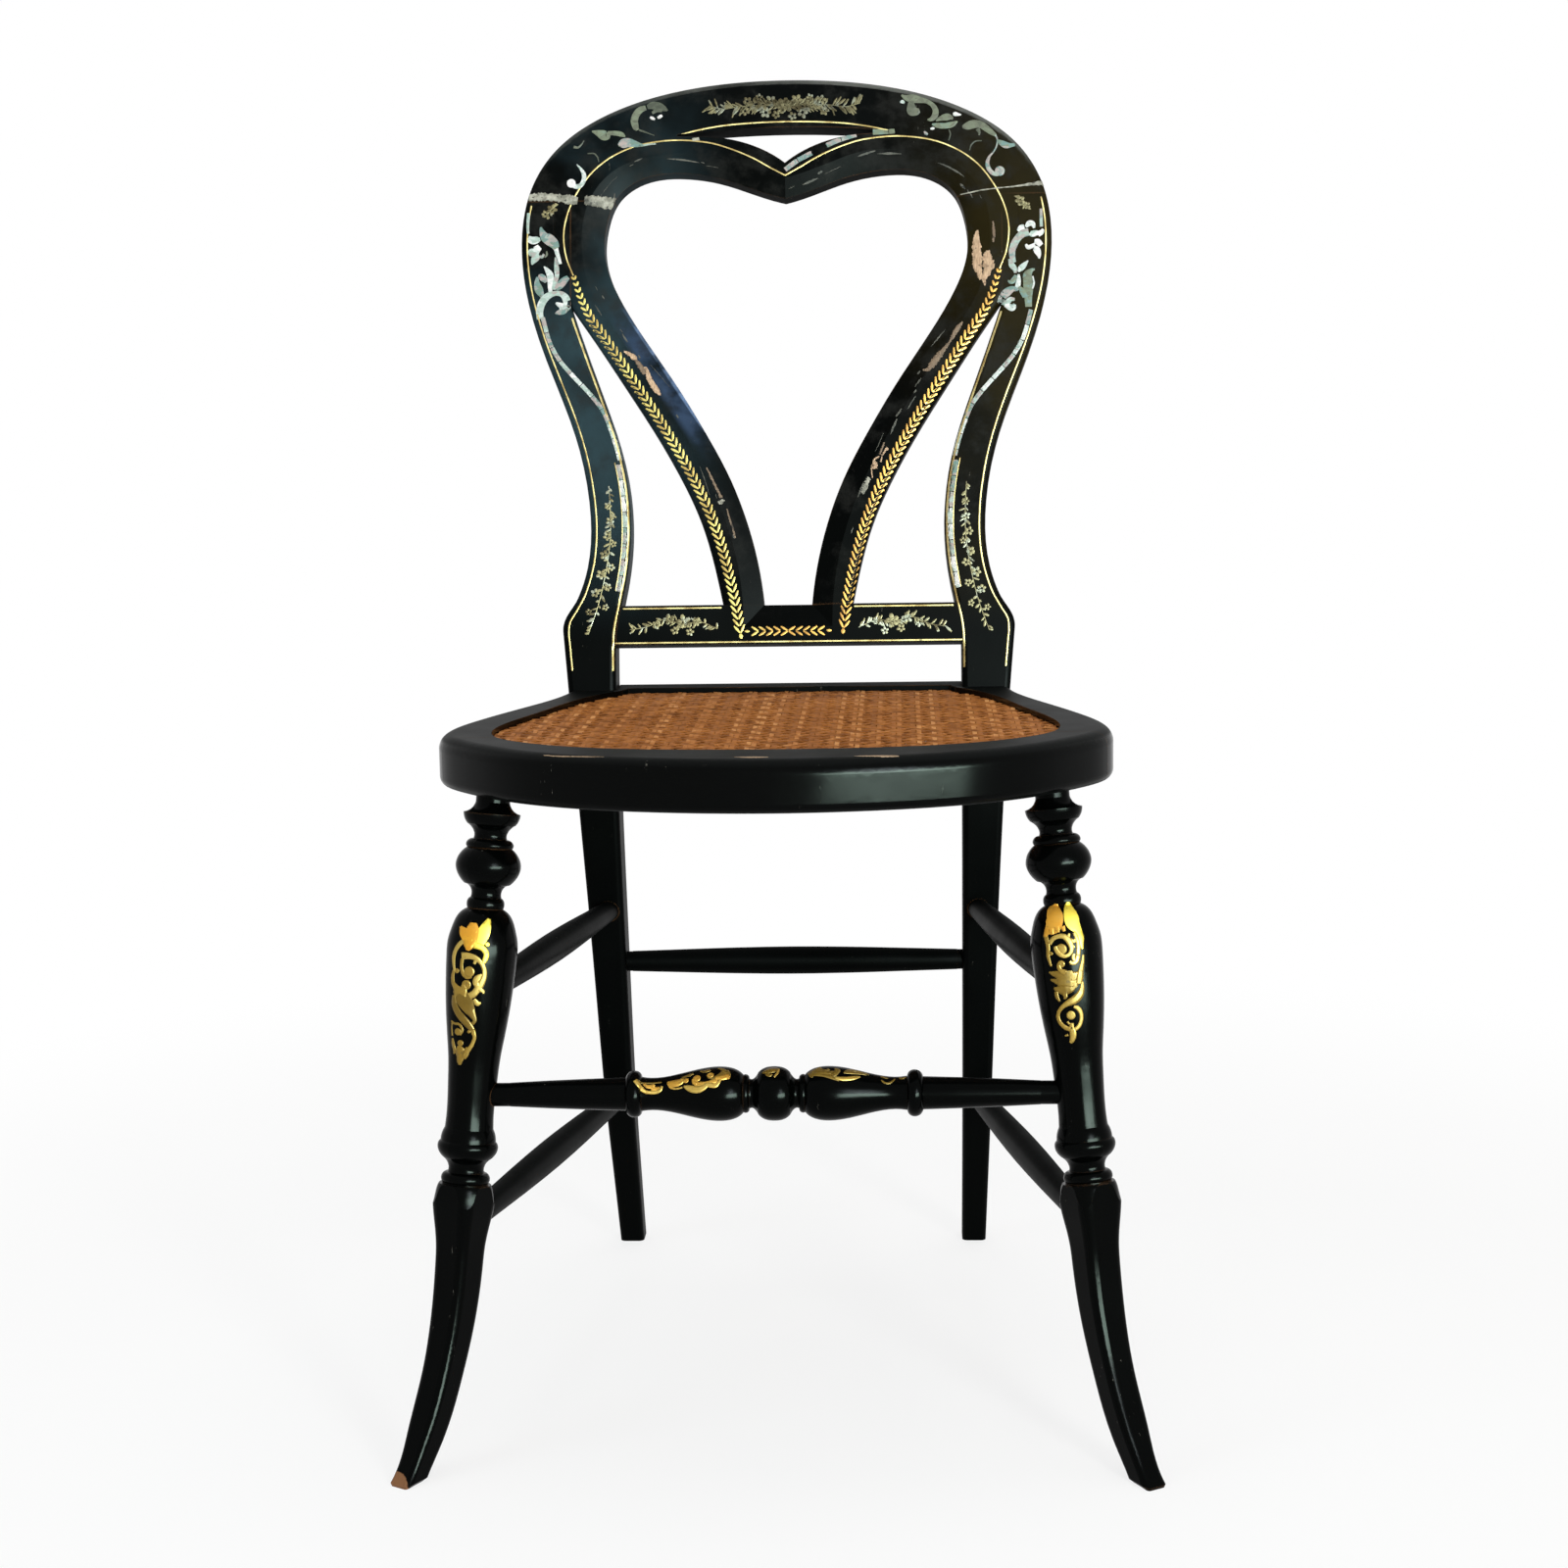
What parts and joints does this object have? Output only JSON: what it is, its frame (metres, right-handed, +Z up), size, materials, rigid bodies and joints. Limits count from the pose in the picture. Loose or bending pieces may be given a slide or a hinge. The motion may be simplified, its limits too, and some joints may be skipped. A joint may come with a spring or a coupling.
{
  "type": "side chair",
  "caption": "Black japanned balloon-back side chair with a heart-shaped fretted splat, bowed cane seat, turned front legs with sabre feet and turned stretchers.",
  "frame": {"origin": "centre of the overall footprint, on the floor under the feet", "axes": "+Z up, -Y towards the front of the chair, +X to the right as seen from the front"},
  "size_m": [0.466, 0.4997, 0.8677],
  "materials": {
    "japanned_wood": "glossy black japan lacquer over wood, gilded and inlaid with shell, rubbed brown at the edges",
    "dowel_wood": "plain split wood",
    "cane": "aged split cane with a soft sheen"
  },
  "bodies": {
    "root": {"crest_rail": "japanned_wood", "left_back_post": "japanned_wood", "right_back_post": "japanned_wood", "left_heart_splat": "japanned_wood", "right_heart_splat": "japanned_wood", "back_cross_rail": "japanned_wood", "shoulder_dowels": "dowel_wood", "splat_foot_dowels": "dowel_wood", "seat_front_rail": "japanned_wood", "seat_left_rail": "japanned_wood", "seat_right_rail": "japanned_wood", "seat_rear_rail": "japanned_wood", "seat_corner_dowels": "dowel_wood", "cane_panel": "cane", "left_front_leg": "japanned_wood", "right_front_leg": "japanned_wood", "front_stretcher": "japanned_wood", "left_upper_stretcher": "japanned_wood", "left_lower_stretcher": "japanned_wood", "right_upper_stretcher": "japanned_wood", "right_lower_stretcher": "japanned_wood", "rear_stretcher": "japanned_wood"}
  },
  "joints": []
}
